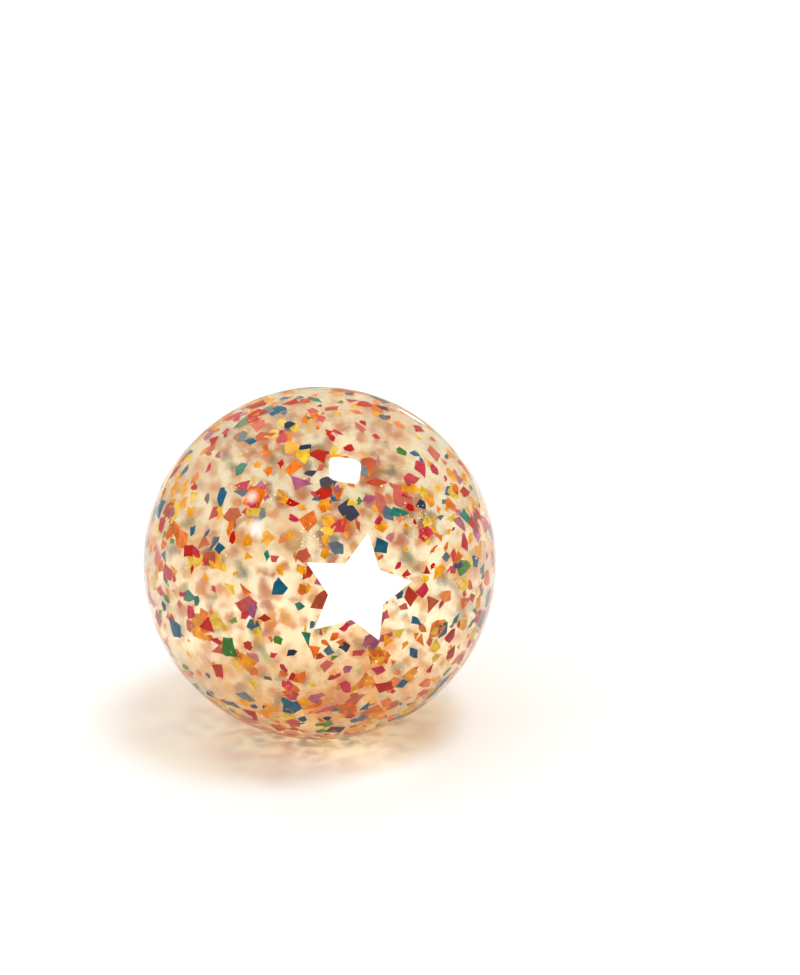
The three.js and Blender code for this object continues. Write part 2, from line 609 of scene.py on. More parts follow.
# %% [markdown]
# ## Confetti
#
# The chips are torn from dyed film: mostly three to six sides with sharp corners, a few slivers, no
# two alike. They lie nearly flat in the wall. Modelling them by hand would be hopeless, and one
# copied shape would look stamped. So a tree scatters points over a ball, puts a polygon on each,
# pulls every corner in or out by a random amount, roughens the sides, gives the chip its thickness,
# and keeps it inside the wall.
#
# All colours share one scatter. Each colour takes its own range of one random number, so chips of
# different colours keep their distance. Every random draw has a number of its own, because two
# draws with the same number would give the same values.

# %% Random numbers
COLOUR_DRAW, DEPTH_DRAW, TONE_DRAW, LENGTH_DRAW, NARROWING_DRAW = 11, 12, 13, 14, 15
LEAN_X_DRAW, LEAN_Y_DRAW, TURN_DRAW, CORNERS_DRAW, PULL_DRAW, SWING_DRAW = 16, 17, 18, 19, 21, 22
BEAD_SIZE_DRAW, BEAD_SIDE_DRAWS, BEAD_TURN_DRAW = 31, (32, 33, 34), 36


def random_number(tree, low, high, draw):
    """A random number for each point, fixed by its ID and the number of the draw."""
    # The node's sockets are for vectors first, then for numbers, then for whole numbers.
    values = {2: low, 3: high, "Seed": draw}
    return add_node(tree, "FunctionNodeRandomValue", values, data_type="FLOAT").outputs[1]


def between(tree, share, low, high):
    """The number at a share of the way from low to high."""
    return maths(tree, "MULTIPLY_ADD", share, maths(tree, "SUBTRACT", high, low), low)


# %% Where chips lie
AVERAGE_SHARE = 0.55
CLUMPS_PER_METRE = 28.0
CLUMPING = 1.3
SETTLING = -0.10


def chip_share(tree, place, radius):
    """How many chips a place gets: more in clumps, and a few more low down, where they settled."""
    clumps = maths(tree, "SUBTRACT", noise(tree, place, CLUMPS_PER_METRE, 1.0), 0.5)
    height = maths(tree, "DIVIDE", parts_of(tree, place)["Z"], radius)
    share = maths(tree, "MULTIPLY_ADD", clumps, CLUMPING, AVERAGE_SHARE)
    return maths(tree, "MULTIPLY_ADD", height, SETTLING, share)


def unwanted_chip(tree, outwards, given):
    """Whether a chip has another colour, or lies too close to the valve."""
    colour = random_number(tree, 0.0, 1.0, COLOUR_DRAW)
    too_low = maths(tree, "LESS_THAN", colour, given["Colour From"])
    too_high = maths(tree, "LESS_THAN", given["Colour To"], colour)
    along = vector_maths(tree, "DOT_PRODUCT", outwards, given["Valve Axis"])
    distance = maths(tree, "MULTIPLY", maths(tree, "ARCCOSINE", along), given["Scatter Radius"])
    at_valve = maths(tree, "LESS_THAN", distance, given["Valve Clearance"])
    return maths(tree, "MAXIMUM", maths(tree, "MAXIMUM", too_low, too_high), at_valve)


# %% Scattering the chips
GLOBE_STEPS = 5


def globe(tree, radius):
    """A round mesh to scatter things on."""
    values = {"Radius": radius, "Subdivisions": GLOBE_STEPS}
    return add_node(tree, "GeometryNodeMeshIcoSphere", values).outputs["Mesh"]


def chip_points(tree, given):
    """Points in the wall, each with its layer, and the direction outwards at each."""
    place = own_place(tree)
    values = {
        "Mesh": globe(tree, given["Scatter Radius"]),
        "Distance Min": given["Closest Spacing"],
        "Density Max": given["Chips Per Square Metre"],
        "Density Factor": chip_share(tree, place, given["Scatter Radius"]),
        "Seed": given["Seed"],
    }
    scatter = add_node(
        tree, "GeometryNodeDistributePointsOnFaces", values, distribute_method="POISSON"
    )
    outwards = vector_maths(tree, "NORMALIZE", place)
    values = {
        "Geometry": scatter.outputs["Points"],
        "Selection": unwanted_chip(tree, outwards, given),
    }
    points = output_of(tree, "GeometryNodeDeleteGeometry", values, domain="POINT")
    depth = random_number(tree, 0.0, 1.0, DEPTH_DRAW)
    layer = between(tree, depth, given["Highest Layer"], given["Lowest Layer"])
    points = moved(tree, points, scaled(tree, outwards, layer))
    points = store(tree, points, "middle", place, "FLOAT_VECTOR")
    points = store(tree, points, "chip_tone", random_number(tree, 0.0, 1.0, TONE_DRAW))
    return store(tree, points, "chip_depth", depth), outwards


# %% How a chip is turned
def chip_turn(tree, outwards, most_tilt):
    """Flat against the wall, tilted a little, and turned any way round."""
    facing = output_of(tree, "FunctionNodeAlignRotationToVector", {"Vector": outwards}, axis="Z")
    lean = {
        "X": maths(tree, "MULTIPLY", random_number(tree, -1.0, 1.0, LEAN_X_DRAW), most_tilt),
        "Y": maths(tree, "MULTIPLY", random_number(tree, -1.0, 1.0, LEAN_Y_DRAW), most_tilt),
        "Z": random_number(tree, 0.0, math.tau, TURN_DRAW),
    }
    lean = output_of(tree, "ShaderNodeCombineXYZ", lean)
    lean = output_of(tree, "FunctionNodeEulerToRotation", {"Euler": lean})
    values = {"Rotation": facing, "Rotate By": lean}
    return output_of(tree, "FunctionNodeRotateRotation", values, rotation_space="LOCAL")


# %% How large a chip is
# The higher the power, the more of the chips are small, or nearly as wide as they are long.
LENGTH_POWER, NARROWING_POWER = 1.2, 2.0
MOST_NARROWING = 0.8


def chip_size(tree, given):
    """Length and width. Small chips are more common than large ones, and a few are slivers."""
    chance = random_number(tree, 0.0, 1.0, LENGTH_DRAW)
    share = maths(tree, "POWER", chance, LENGTH_POWER)
    length = between(tree, share, given["Shortest"], given["Longest"])
    chance = random_number(tree, 0.0, MOST_NARROWING, NARROWING_DRAW)
    narrowing = maths(tree, "POWER", chance, NARROWING_POWER)
    width = maths(tree, "MULTIPLY", length, maths(tree, "SUBTRACT", 1.0, narrowing))
    return output_of(tree, "ShaderNodeCombineXYZ", {"X": length, "Y": width, "Z": 1.0})


# %% Blank chips
CORNER_COUNTS = (6, 5, 4, 4, 4, 5, 3)


def blank_chips(tree, points, turn, size):
    """A flat polygon on each point, picked from a few numbers of corners."""
    blanks = add_node(tree, "GeometryNodeJoinGeometry")
    for corners in CORNER_COUNTS:
        values = {"Vertices": corners, "Radius": 0.5}
        blank = add_node(tree, "GeometryNodeMeshCircle", values, fill_type="NGON").outputs["Mesh"]
        blank = output_of(tree, "GeometryNodeGeometryToInstance", {"Geometry": blank})
        tree.links.new(blank, blanks.inputs[0])
    values = {4: 0, 5: len(CORNER_COUNTS) - 1, "Seed": CORNERS_DRAW}
    kind = add_node(tree, "FunctionNodeRandomValue", values, data_type="INT").outputs[2]
    values = {
        "Points": points,
        "Instance": blanks.outputs[0],
        "Pick Instance": True,
        "Instance Index": kind,
        "Rotation": turn,
        "Scale": size,
    }
    return realized(tree, output_of(tree, "GeometryNodeInstanceOnPoints", values))


# %% Tearing the chips
NEAREST_CORNER, FARTHEST_CORNER, CORNER_SWING = 0.55, 1.2, 0.35
TEARS_PER_METRE = 700.0


def torn_chips(tree, sheet, given):
    """Pulls each corner in or out and a little round, then moves every point by fine noise."""
    middle = stored(tree, "middle", "FLOAT_VECTOR")
    arm = vector_maths(tree, "SUBTRACT", own_place(tree), middle)
    arm = scaled(tree, arm, random_number(tree, NEAREST_CORNER, FARTHEST_CORNER, PULL_DRAW))
    values = {
        "Vector": arm,
        "Axis": vector_maths(tree, "NORMALIZE", middle),
        "Angle": random_number(tree, -CORNER_SWING, CORNER_SWING, SWING_DRAW),
    }
    arm = output_of(tree, "ShaderNodeVectorRotate", values)
    sheet = moved(tree, sheet, vector_maths(tree, "ADD", middle, arm))
    values = {"Mesh": sheet, "Level": 1}
    sheet = output_of(tree, "GeometryNodeSubdivideMesh", values)
    values = {"Vector": own_place(tree), "Scale": TEARS_PER_METRE, "Detail": 1.0}
    drift = add_node(tree, "ShaderNodeTexNoise", values).outputs["Color"]
    drift = scaled(tree, vector_maths(tree, "SUBTRACT", drift, (0.5, 0.5, 0.5)), given["Tear"])
    return moved(tree, sheet, vector_maths(tree, "ADD", own_place(tree), drift))


# %% Giving the chips their thickness
def thickened(tree, sheet, thickness):
    """A thin solid: the raised sheet, its sides, and the first sheet turned over."""
    normal = output_of(tree, "GeometryNodeInputNormal")
    values = {"Mesh": sheet, "Offset": normal, "Offset Scale": thickness, "Individual": False}
    raised = add_node(tree, "GeometryNodeExtrudeMesh", values, mode="FACES").outputs["Mesh"]
    under = output_of(tree, "GeometryNodeFlipFaces", {"Mesh": sheet})
    both = add_node(tree, "GeometryNodeJoinGeometry")
    tree.links.new(under, both.inputs[0])
    tree.links.new(raised, both.inputs[0])
    return welded(tree, both.outputs[0])


# %% Staying inside the wall
FOOT_START = 0.9 * MM
FOOT_PRESS = 0.35


def pressed_at_foot(tree, place):
    """A place whose height, near the ground, is pressed together like the ball's flat foot."""
    over = maths(tree, "SUBTRACT", parts_of(tree, place)["Z"], FOOT_START)
    return kept_above(tree, place, maths(tree, "MULTIPLY_ADD", over, FOOT_PRESS, FOOT_START))


def inside_wall(tree, given):
    """Each point's own place, between the wall's faces and about the ball's centre."""
    place = own_place(tree)
    reach = maths(tree, "MAXIMUM", vector_maths(tree, "LENGTH", place), given["Lowest Layer"])
    highest = maths(tree, "ADD", given["Highest Layer"], given["Thickness"])
    outwards = vector_maths(tree, "NORMALIZE", place)
    place = scaled(tree, outwards, maths(tree, "MINIMUM", reach, highest))
    return pressed_at_foot(tree, vector_maths(tree, "ADD", place, given["Centre"]))


# %% The confetti tree
def confetti_tree():
    """Scatters thin torn chips of one colour inside the wall."""
    lengths = ["Scatter Radius", "Closest Spacing", "Shortest", "Longest", "Tear", "Thickness"]
    lengths += ["Lowest Layer", "Highest Layer", "Valve Clearance"]
    shares = ["Chips Per Square Metre", "Most Tilt", "Colour From", "Colour To"]
    sizes = {name: float for name in lengths + shares}
    sizes |= {"Centre": Vector, "Valve Axis": Vector, "Seed": int, "Finish": bpy.types.Material}
    tree, given, output = geometry_tree("confetti", sizes)
    points, outwards = chip_points(tree, given)
    turn = chip_turn(tree, outwards, given["Most Tilt"])
    chips = blank_chips(tree, points, turn, chip_size(tree, given))
    chips = thickened(tree, torn_chips(tree, chips, given), given["Thickness"])
    chips = moved(tree, chips, inside_wall(tree, given))
    tree.links.new(coated(tree, chips, given["Finish"]), output.inputs[0])
    return tree


confetti = confetti_tree()
print(confetti.name, "has", len(confetti.nodes), "nodes")

# %% [markdown]
# ## Dyed film
#
# The film is matt and lets some light through, so a chip is lit from both sides and glows a little.
# Its dye is uneven, and no chip has quite the tone of the next. Chips that lie deeper look paler,
# because more of the warm vinyl is in front of them. The tree left a random tone and a depth on
# each chip for this, and the material reads both as attributes. Across the ball a chip shows its
# inner side, and that side is painted a little paler and greyer: painted light, which brightens
# the chips on the far side. The normal tells which side it is: it points at the middle of the
# ball or away from it.

# %% The inner side of a chip
def inner_side(tree):
    """1 on the side of a chip that faces the middle of the ball, and 0 on the other."""
    outwards = vector_maths(tree, "SUBTRACT", object_place(tree), tuple(BALL_CENTRE))
    normal = add_node(tree, "ShaderNodeNewGeometry").outputs["Normal"]
    return maths(tree, "LESS_THAN", vector_maths(tree, "DOT_PRODUCT", outwards, normal), 0.0)


# %% One dye
# The third colour and the third share are painted light, for the inner side of each chip.
HAZE, GLOW, PAINTED_PALE_LIGHT = (0.78, 0.62, 0.40), (1.0, 0.87, 0.56), (0.78, 0.71, 0.66)
HAZE_SHARE, GLOW_SHARE, INNER_PAINTED_LIGHT_SHARE, LIT_THROUGH = 0.24, 0.5, 0.30, 0.45
# The haze grows with this power of the depth, so only the deepest chips look hazy.
HAZE_POWER = 3.0
GRAIN_PER_METRE = 320.0
TONE_OF_CHIP, TONE_OF_GRAIN = 0.6, 0.4
DARKEST_GRAIN, LIGHTEST_GRAIN = 0.66, 1.12


def dyed_film(name, dye, other_dye):
    """Thin film dyed one colour, a little different from chip to chip."""
    material, tree = new_material(name)
    tone = add_node(tree, "ShaderNodeAttribute", attribute_name="chip_tone").outputs["Fac"]
    depth = add_node(tree, "ShaderNodeAttribute", attribute_name="chip_depth").outputs["Fac"]
    grain = object_noise(tree, GRAIN_PER_METRE, 4.0, 0.6)
    from_grain = maths(tree, "MULTIPLY", grain, TONE_OF_GRAIN)
    tone = maths(tree, "MULTIPLY_ADD", tone, TONE_OF_CHIP, from_grain)
    colour = mixed(tree, tone, dye, other_dye)
    shade = ranged(tree, grain, DARKEST_GRAIN, LIGHTEST_GRAIN, 0.36, 0.64)
    colour = scaled(tree, colour, shade)
    veil = maths(tree, "MULTIPLY", maths(tree, "POWER", depth, HAZE_POWER), HAZE_SHARE)
    colour = mixed(tree, veil, colour, HAZE)
    # Painted light: the side that faces the middle of the ball is made paler and greyer.
    painted_light = maths(tree, "MULTIPLY", inner_side(tree), INNER_PAINTED_LIGHT_SHARE)
    colour = mixed(tree, painted_light, colour, PAINTED_PALE_LIGHT)
    values = {
        "Base Color": colour,
        "Roughness": ranged(tree, grain, 0.35, 0.6),
        "IOR": 1.45,
        "Specular IOR Level": 0.05,
    }
    through = output_of(tree, "ShaderNodeBsdfTranslucent", {"Color": colour})
    film = either(tree, LIT_THROUGH, principled(tree, values), through)
    straight = transparent(tree, mixed(tree, GLOW_SHARE, colour, GLOW))
    return finished(material, let_light_through(tree, film, straight))


# %% [markdown]
# The dyes are written as they look on a screen, from 0 to 255, because that is how a maker matches
# them to a photograph. The renderer counts light instead, so each is changed before it is used.

# %% The dyes
# Name, share of the chips, main colour and the colour that some chips lean to.
DYES = [
    ("red", 0.125, (198, 20, 6), (164, 10, 8)),
    ("orange", 0.18, (228, 124, 8), (216, 104, 6)),
    ("amber", 0.20, (236, 174, 26), (226, 156, 18)),
    ("yellow", 0.09, (232, 206, 84), (224, 194, 62)),
    ("pink", 0.145, (204, 54, 98), (186, 44, 78)),
    ("mauve", 0.05, (184, 106, 160), (164, 86, 142)),
    ("blue", 0.11, (6, 84, 140), (26, 108, 158)),
    ("navy", 0.03, (6, 44, 98), (4, 32, 80)),
    ("teal", 0.04, (12, 126, 126), (34, 140, 136)),
    ("green", 0.03, (26, 120, 48), (92, 146, 40)),
]


def as_light(screen_colour):
    """A screen colour as the light it stands for."""
    def channel(level):
        level /= 255
        return level / 12.92 if level <= 0.04045 else ((level + 0.055) / 1.055) ** 2.4
    return tuple(channel(level) for level in screen_colour)


# %% Make the confetti
EMPTY_MESH = bpy.data.meshes.new("nothing")
chip_pieces = []
colour_from = 0.0
for dye, share, colour, other_colour in DYES:
    chips = grown(
        "confetti_" + dye,
        confetti,
        EMPTY_MESH,
        centre=BALL_CENTRE,
        scatter_radius=BALL_RADIUS - WALL / 2,
        chips_per_square_metre=60000.0,
        closest_spacing=1.3 * MM,
        shortest=3.6 * MM,
        longest=10.5 * MM,
        tear=1.5 * MM,
        thickness=0.2 * MM,
        lowest_layer=BALL_RADIUS - 1.3 * MM,
        highest_layer=BALL_RADIUS - 0.45 * MM,
        most_tilt=math.radians(7),
        colour_from=colour_from,
        colour_to=colour_from + share,
        valve_axis=VALVE_AXIS,
        valve_clearance=12 * MM,
        seed=4,
        finish=dyed_film("dyed_film_" + dye, as_light(colour), as_light(other_colour)),
    )
    colour_from += share
    chip_pieces.append(chips)
    measure(chips)
print("shares add up to", round(colour_from, 3))

# %% [markdown]
# ## Trapped air
#
# In a few places air stayed in the vinyl while it set. There it forms a froth of beads less than a
# millimetre across, and they sparkle white, because froth turns light back as milk does. A rough
# patch in the material could hint at it, but single beads stand out in the photograph. So each is a
# small cut stone of its own, and its facets make some of them flash while others stay dull.

# %% Where the froth is
FROTH_PLACES = [direction(35.7, 27.7), direction(36.8, 15.9), direction(-2, 24), direction(150, -20)]
FROTH_REACH = 5 * MM
RAGS_PER_METRE = 500.0


def froth_share(tree, place, given):
    """How many beads a place gets: many in the froth, with a ragged edge, and few elsewhere."""
    ragged = noise(tree, place, RAGS_PER_METRE)
    share = maths(tree, "MULTIPLY", ragged, given["Share Elsewhere"])
    for towards in FROTH_PLACES:
        middle = scaled(tree, tuple(towards), given["Layer Radius"])
        away = maths(tree, "DIVIDE", vector_maths(tree, "DISTANCE", place, middle), FROTH_REACH)
        away = maths(tree, "ADD", away, maths(tree, "SUBTRACT", ragged, 0.5))
        here = maths(tree, "MULTIPLY", maths(tree, "SUBTRACT", 1.0, away, clamp=True), ragged)
        share = maths(tree, "MAXIMUM", share, here)
    return share


# %% The shape of a bead
BEAD_SIZE_POWER = 2.0
FLATTEST_BEAD = 0.45


def bead_size(tree, given):
    """A random size, mostly small, shrunk by its own amount each way."""
    chance = random_number(tree, 0.0, 1.0, BEAD_SIZE_DRAW)
    share = maths(tree, "POWER", chance, BEAD_SIZE_POWER)
    size = between(tree, share, given["Smallest"], given["Largest"])
    shares = [random_number(tree, FLATTEST_BEAD, 1.0, draw) for draw in BEAD_SIDE_DRAWS]
    sides = [maths(tree, "MULTIPLY", size, share) for share in shares]
    return output_of(tree, "ShaderNodeCombineXYZ", dict(enumerate(sides)))


def any_turn(tree):
    """A turn any way round."""
    values = {0: (0, 0, 0), 1: (math.tau,) * 3, "Seed": BEAD_TURN_DRAW}
    return output_of(tree, "FunctionNodeRandomValue", values, data_type="FLOAT_VECTOR")


# %% The froth tree
def froth_tree():
    """Scatters small faceted beads in the wall."""
    lengths = ["Layer Radius", "Smallest", "Largest"]
    sizes = {name: float for name in lengths + ["Beads Per Square Metre", "Share Elsewhere"]}
    sizes |= {"Centre": Vector, "Seed": int, "Finish": bpy.types.Material}
    tree, given, output = geometry_tree("froth", sizes)
    share = froth_share(tree, own_place(tree), given)
    values = {
        "Mesh": globe(tree, given["Layer Radius"]),
        "Density": maths(tree, "MULTIPLY", share, given["Beads Per Square Metre"]),
        "Seed": given["Seed"],
    }
    scatter = add_node(tree, "GeometryNodeDistributePointsOnFaces", values)
    values = {
        "Points": scatter.outputs["Points"],
        "Instance": add_node(tree, "GeometryNodeMeshIcoSphere", {"Radius": 1.0}).outputs["Mesh"],
        "Rotation": any_turn(tree),
        "Scale": bead_size(tree, given),
    }
    beads = realized(tree, output_of(tree, "GeometryNodeInstanceOnPoints", values))
    place = vector_maths(tree, "ADD", own_place(tree), given["Centre"])
    beads = moved(tree, beads, pressed_at_foot(tree, place))
    tree.links.new(coated(tree, beads, given["Finish"]), output.inputs[0])
    return tree


# %% Finish of the froth
def frothy_vinyl():
    """White beads under the vinyl, a little warmer in some places than in others."""
    material, tree = new_material("frothy_vinyl")
    drift = object_noise(tree, 900.0)
    values = {
        "Base Color": mixed(tree, drift, (1.0, 0.88, 0.62), (1.0, 0.97, 0.88)),
        "Roughness": ranged(tree, drift, 0.05, 0.3),
        "IOR": 1.8,
    }
    straight = transparent(tree, (1.0, 0.95, 0.85))
    return finished(material, let_light_through(tree, principled(tree, values), straight))


# %% Make the froth
air_beads = grown(
    "air_beads",
    froth_tree(),
    EMPTY_MESH,
    centre=BALL_CENTRE,
    layer_radius=BALL_RADIUS - 0.4 * MM,
    beads_per_square_metre=2200000.0,
    share_elsewhere=0.008,
    smallest=0.22 * MM,
    largest=0.55 * MM,
    seed=3,
    finish=frothy_vinyl(),
)
measure(air_beads)

# %% [markdown]
# ## The stopper of the air valve
#
# The stopper is a soft plug, milky where the ball is clear. Its head lies in the recess, a dimple
# in the head helps to press it home, and a barb near the tip of the stem keeps it in. All of that is
# round, so the turning tree makes it from one more profile.

# %% Milky vinyl
def milky_vinyl():
    """Soft vinyl that scatters light inside, so that it looks milky."""
    material, tree = new_material("milky_vinyl")
    grain = object_noise(tree, 2400.0)
    cloud = object_noise(tree, 260.0, 3.0)
    values = {
        "Base Color": mixed(tree, cloud, (0.60, 0.51, 0.38), (0.68, 0.60, 0.47)),
        "Roughness": ranged(tree, grain, 0.28, 0.42),
        "IOR": VINYL_IOR,
        "Subsurface Weight": 0.4,
        "Subsurface Radius": (1.0, 0.8, 0.6),
        "Subsurface Scale": 1.0 * MM,
        "Normal": bumpy(tree, grain, 0.03 * MM, 0.4),
    }
    return finished(material, principled(tree, values))


# %% Profile of the stem
tip = HEAD_UNDERSIDE - STOPPER_STEM_LENGTH
stem = STOPPER_STEM_RADIUS - SLIP
barb = STOPPER_STEM_RADIUS + 0.3 * MM
stem_profile = [
    (0, tip),
    (1.3 * MM, tip),
    (1.9 * MM, tip + 0.25 * MM),
    (barb, tip + 1.4 * MM),
    (barb - 0.05 * MM, tip + 1.75 * MM),
    (stem - 0.15 * MM, tip + 1.9 * MM),
    (stem, tip + 2.6 * MM),
    (stem, HEAD_UNDERSIDE - 0.3 * MM),
    (stem + 0.35 * MM, HEAD_UNDERSIDE),
    (STOPPER_HEAD_RADIUS - 0.3 * MM, HEAD_UNDERSIDE),
]

# %% Profile of the head
HEAD_ROUNDING = 0.5 * MM
DIMPLE_RADIUS = 2.2 * MM
DIMPLE_DEPTH = 0.6 * MM
DIMPLE_SLOPE = 0.06 * MM
DIMPLE_STEPS = 7
head_edge = (STOPPER_HEAD_RADIUS - HEAD_ROUNDING, HEAD_TOP - HEAD_ROUNDING)
dimple_rim = math.sqrt(BALL_RADIUS**2 - DIMPLE_RADIUS**2) - 0.15 * MM
head_profile = [(STOPPER_HEAD_RADIUS, HEAD_UNDERSIDE + 0.3 * MM)]
head_profile += arc(head_edge, HEAD_ROUNDING, 0, math.pi / 2, 5)
head_profile += [
    (DIMPLE_RADIUS + 0.35 * MM, dimple_rim - DIMPLE_SLOPE / 3),
    (DIMPLE_RADIUS + 0.15 * MM, dimple_rim - DIMPLE_SLOPE),
]
for i in range(1, DIMPLE_STEPS + 1):
    angle = math.pi / 2 * i / DIMPLE_STEPS
    reach = round(DIMPLE_RADIUS * math.cos(angle), 9)
    head_profile.append((reach, dimple_rim - DIMPLE_DEPTH * math.sin(angle)))

# %% Turn the stopper
milky = milky_vinyl()
stopper = grown(
    "stopper",
    turned_profile,
    profile_mesh("stopper_profile", limited(stem_profile + head_profile, FREE)),
    steps_around=64,
    axis=VALVE_AXIS,
    centre=BALL_CENTRE,
    split_radius=0.0,
    ripple_height=0.0,
    ripple_size=1.0,
    outer_finish=milky,
    inner_finish=milky,
)
measure(stopper)

# %% [markdown]
# ## The white star
#
# The star is a sticker of thick white film, cut with slightly round points. It lies on the ball, so
# it follows the ball's curve. Its place and turn are those of the imported model. A flat star wrapped
# by a modifier would do, but rings of the same outline, each a little smaller than the last, give a
# rounded edge and a closed film in one pass. The edge is coloured a warm brown.

# %% Outline of the star
STAR_TIP, STAR_NOTCH, STAR_TURN = 22.3 * MM, 11.5 * MM, 14.1
STAR_CORNER = 0.5 * MM
CORNER_STEPS, SIDE_STEPS = 4, 10


def star_corners():
    """Tips and notches in turn, on the flat, against the clock."""
    corners = []
    for i in range(10):
        radius = STAR_TIP if i % 2 == 0 else STAR_NOTCH
        angle = math.pi / 2 - math.radians(STAR_TURN) + math.pi * i / 5
        corners.append(Vector((radius * math.cos(angle), radius * math.sin(angle))))
    return corners


def star_outline():
    """The cut line of the star, with rounded corners and points along its sides."""
    corners = star_corners()
    outline = []
    for before, corner, after in zip(corners[-1:] + corners, corners, corners[1:] + corners[:1]):
        start = corner + (before - corner).normalized() * STAR_CORNER
        end = corner + (after - corner).normalized() * STAR_CORNER
        for step in range(CORNER_STEPS + 1):
            t = step / CORNER_STEPS
            outline.append(start * (1 - t) ** 2 + corner * 2 * t * (1 - t) + end * t**2)
        next_start = after + (corner - after).normalized() * STAR_CORNER
        outline += [end.lerp(next_start, step / SIDE_STEPS) for step in range(1, SIDE_STEPS)]
    return outline


# %% Rings of the star
# Inset from the cut edge and height above the ball in mm, from the foot of the edge to the top.
STAR_EDGE = [(0.0, 0.02), (-0.02, 0.08), (0.0, 0.15), (0.07, 0.2), (0.18, 0.22)]
FILL_RINGS = 12


def star_rings():
    """Size, height above the ball and share of brown edge of each ring, from below to above."""
    _, foot = STAR_EDGE[0]
    inset, top = STAR_EDGE[-1]
    shares = [i / FILL_RINGS for i in range(1, FILL_RINGS)]
    rings = [(share, foot * MM, 0.0) for share in shares]
    rings += [(1 - i * MM / STAR_NOTCH, lift * MM, 1.0) for i, lift in STAR_EDGE[:-1]]
    whole = 1 - inset * MM / STAR_NOTCH
    return rings + [(whole * share, top * MM, 0.0) for share in [1.0] + shares[::-1]]


# %% Place on the ball
STAR_ACROSS = Vector((0, 0, 1)).cross(STAR_AXIS).normalized()
STAR_UP = STAR_AXIS.cross(STAR_ACROSS)


def on_star(point, lift):
    """Where a point of the flat star comes to lie on the ball."""
    rise = math.sqrt((BALL_RADIUS + lift) ** 2 - point.length_squared)
    return BALL_CENTRE + STAR_ACROSS * point.x + STAR_UP * point.y + STAR_AXIS * rise


# %% Build the star
def make_star():
    """A closed film of the star's outline that follows the ball."""
    outline, rings = star_outline(), star_rings()
    count = len(outline)
    b = bmesh.new()
    brown_edge = b.verts.layers.float.new("brown_edge")
    loops = []
    for share, lift, edge_share in rings:
        loop = [b.verts.new(on_star(point * share, lift)) for point in outline]
        for vertex in loop:
            vertex[brown_edge] = edge_share
        loops.append(loop)
    for low, high in zip(loops, loops[1:]):
        for i in range(count):
            j = (i + 1) % count
            b.faces.new((low[i], low[j], high[j], high[i]))
    for ring, way_round in ((0, -1), (-1, 1)):
        middle = b.verts.new(on_star(Vector((0, 0)), rings[ring][1]))
        for i in range(count):
            pair = (loops[ring][i], loops[ring][(i + 1) % count])
            b.faces.new((middle, *pair[::way_round]))
    for face in b.faces:
        face.smooth = True
    mesh = bpy.data.meshes.new("star_sticker_film")
    b.to_mesh(mesh)
    b.free()
    return new_object("star_sticker_film", mesh)


# %% White film
def white_film():
    """Smooth white film with a warm edge."""
    material, tree = new_material("white_film")
    brown_edge = add_node(tree, "ShaderNodeAttribute", attribute_name="brown_edge").outputs["Fac"]
    values = {
        "Base Color": mixed(tree, brown_edge, (0.93, 0.93, 0.92), (0.62, 0.46, 0.30)),
        "Roughness": ranged(tree, object_noise(tree, 500.0, 3.0), 0.3, 0.45),
        "IOR": 1.45,
    }
    return finished(material, principled(tree, values))


star = make_star()
star.data.materials.append(white_film())
measure(star)

# %% [markdown]
# ## Windows
#
# The photograph has one bright, nearly square reflection high on the ball, two small soft ones to
# its left, and a thin streak on the far rim. Each comes from a window. Where it stands follows from
# the reflection: a ray from the camera to that spot, mirrored on the ball, points at it. An area
# lamp has hard edges, so each window is a shining mesh whose light fades towards its edge. The
# panes stand far away, so that their light doesn't fade across the table, and show in reflections
# only.

# %% Light of a pane
def pane_light(name, width, height, strength, squareness, fade):
    """Light that fades to nothing at the edge of an oval or, if squarer, of a rounded square."""
    material, tree = new_material(name + "_light")
    parts = parts_of(tree, object_place(tree))
    total = 0.0
    for part, reach in ((parts["X"], width / 2), (parts["Y"], height / 2)):
        away = maths(tree, "ABSOLUTE", maths(tree, "DIVIDE", part, reach))
        total = maths(tree, "ADD", maths(tree, "POWER", away, squareness), total)
    edge = maths(tree, "POWER", total, 1 / squareness)
    light = ranged(tree, edge, strength, 0.0, 1 - fade, 1.0, "SMOOTHSTEP")
    return finished(material, output_of(tree, "ShaderNodeEmission", {"Strength": light}))


# %% One pane
WINDOW_DISTANCE = 12


def window_pane(name, towards, width, height, strength, squareness=2, fade=1.0):
    """A shining pane that faces the ball."""
    outwards = Vector(towards).normalized()
    across = (Vector((1, 0, 0)) - outwards * outwards.x).normalized()
    up = outwards.cross(across)
    mesh = bpy.data.meshes.new(name)
    corners = [(-1, 1), (1, 1), (1, -1), (-1, -1)]
    places = [(right * width / 2, high * height / 2, 0) for right, high in corners]
    mesh.from_pydata(places, [], [range(4)])
    mesh.materials.append(pane_light(name, width, height, strength, squareness, fade))
    pane = new_object(name, mesh)
    middle = BALL_CENTRE + outwards * WINDOW_DISTANCE
    turn = Matrix((across, up, outwards)).transposed().to_4x4()
    pane.matrix_world = Matrix.Translation(middle) @ turn
    pane.visible_camera = False
    pane.visible_transmission = False


# %% The four panes
window_pane("window", (0.235, -0.198, 0.952), 3.8, 4.0, 32, squareness=5, fade=0.2)
window_pane("upper_left_pane", (-0.632, -0.274, 0.725), 2.2, 2.6, 15)
window_pane("lower_left_pane", (-0.638, -0.556, 0.532), 3.0, 3.6, 20)
window_pane("far_pane", (0.27, 0.952, 0.15), 1.4, 1.7, 8)

# %% [markdown]
# ## A white room
#
# The room is white all round, and that is what shows through the ball. A mirror image of the same
# white would lie over the whole ball like a veil, though, and the photograph has none, because in
# front of the ball the room is dim. So rays that come off a glossy face see a darker, warmer room in
# front and a brighter one behind. The light path tells them from all other rays.
#
# Light falls on things more from above and from the front left, and that puts the shadow where the
# photograph has it. Seen directly or through the ball, the room looks equally bright all round.

# %% Rays off a glossy face
def off_glossy_face(tree):
    """1 for rays that are mirror images, and 0 for all others."""
    rays = add_node(tree, "ShaderNodeLightPath").outputs
    return maths(tree, "MULTIPLY", rays["Is Reflection Ray"], rays["Is Glossy Ray"])


